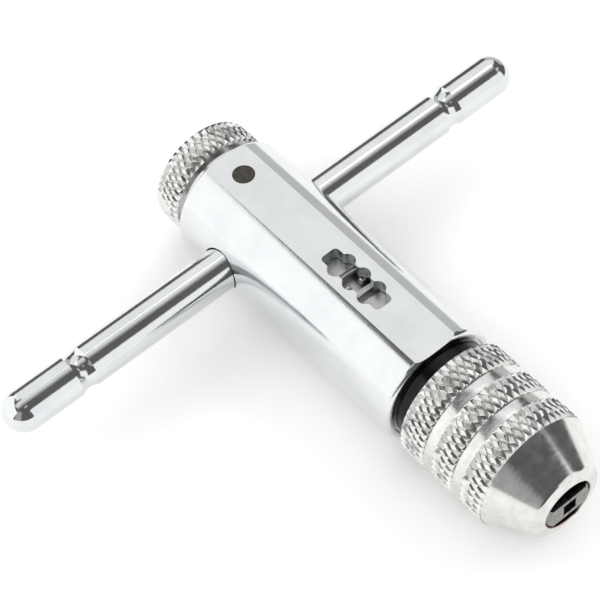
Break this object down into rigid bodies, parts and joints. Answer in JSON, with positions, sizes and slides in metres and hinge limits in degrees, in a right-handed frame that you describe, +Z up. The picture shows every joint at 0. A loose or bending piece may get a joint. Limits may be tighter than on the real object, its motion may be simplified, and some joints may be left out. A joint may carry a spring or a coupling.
{
  "type": "ratchet tap wrench",
  "caption": "Small ratchet T-handle tap wrench: sliding bar through a chromed barrel, knurled direction knob, and a knurled two-jaw chuck for square tap shanks.",
  "frame": {"origin": "centre of the bounding box at the surface the wrench lies on", "axes": "+X along the sliding bar, +Y along the spindle towards the selector knob with the jaws facing -Y, +Z up out of the body's flat"},
  "size_m": [0.102, 0.085, 0.0208],
  "materials": {
    "polished_chrome": "polished",
    "satin_nickel": "satin",
    "black_oxide": "satin",
    "grey_steel": "matte",
    "bright_steel": "polished",
    "spring_steel": "satin",
    "jaw_steel": "satin"
  },
  "bodies": {
    "wrench_body": {"body": "polished_chrome", "retaining_pin": "black_oxide", "pawl_pivot_pin": "bright_steel", "end_ring": "black_oxide"},
    "selector": {"selector_knob": "satin_nickel", "selector_barrel": "grey_steel", "neck_clip": "spring_steel", "bar_detent_ball": "bright_steel", "bar_detent_spring": "spring_steel", "index_ball": "bright_steel", "index_spring": "spring_steel", "pawl_plunger": "grey_steel", "pawl_plunger_spring": "spring_steel"},
    "bar": {"sliding_bar": "polished_chrome"},
    "pawl": {"reversing_pawl": "grey_steel"},
    "spindle": {"ratchet_spindle": "grey_steel", "jaw_spring": "spring_steel"},
    "stop_ring": {"sleeve_stop_ring": "spring_steel"},
    "sleeve": {"chuck_sleeve": "satin_nickel"},
    "jaw_plus": {"jaw_right": "jaw_steel"},
    "jaw_minus": {"jaw_left": "jaw_steel"}
  },
  "joints": [
    {"name": "bar_slide", "type": "slide", "parent": "wrench_body", "child": "bar", "axis": [1, 0, 0], "range_m": [-0.0361, 0.0383]},
    {"name": "selector_turn", "type": "hinge", "parent": "wrench_body", "child": "selector", "pos_m": [0.0011, 0.02455, 0.0104], "axis": [0, 1, 0], "range_deg": [-20, 20]},
    {"name": "pawl_rock", "type": "hinge", "parent": "wrench_body", "child": "pawl", "pos_m": [0.0011, -0.00615, 0.0022], "axis": [0, 1, 0], "range_deg": [-7.7, 7.7]},
    {"name": "spindle_turn", "type": "hinge", "parent": "wrench_body", "child": "spindle", "pos_m": [0.0011, 0.02455, 0.0104], "axis": [0, 1, 0], "continuous": true},
    {"name": "sleeve_turn", "type": "hinge", "parent": "stop_ring", "child": "sleeve", "pos_m": [0.0011, -0.02945, 0.0104], "axis": [0, 1, 0], "range_deg": [-1440, 0]},
    {"name": "sleeve_advance", "type": "slide", "parent": "spindle", "child": "stop_ring", "axis": [0, 1, 0], "range_m": [-0.005, 0]},
    {"name": "jaw_right_slide", "type": "slide", "parent": "spindle", "child": "jaw_plus", "axis": [1, 0, 0], "range_m": [0, 0.0015]},
    {"name": "jaw_left_slide", "type": "slide", "parent": "spindle", "child": "jaw_minus", "axis": [-1, 0, 0], "range_m": [0, 0.0015]}
  ],
  "couplings": [
    {"joint": "pawl_rock", "follows": "selector_turn", "ratio": 0.385},
    {"joint": "sleeve_turn", "follows": "sleeve_advance", "rad_per_m": 5026.5},
    {"joint": "jaw_right_slide", "follows": "sleeve_advance", "ratio": -0.3},
    {"joint": "jaw_left_slide", "follows": "sleeve_advance", "ratio": -0.3}
  ]
}
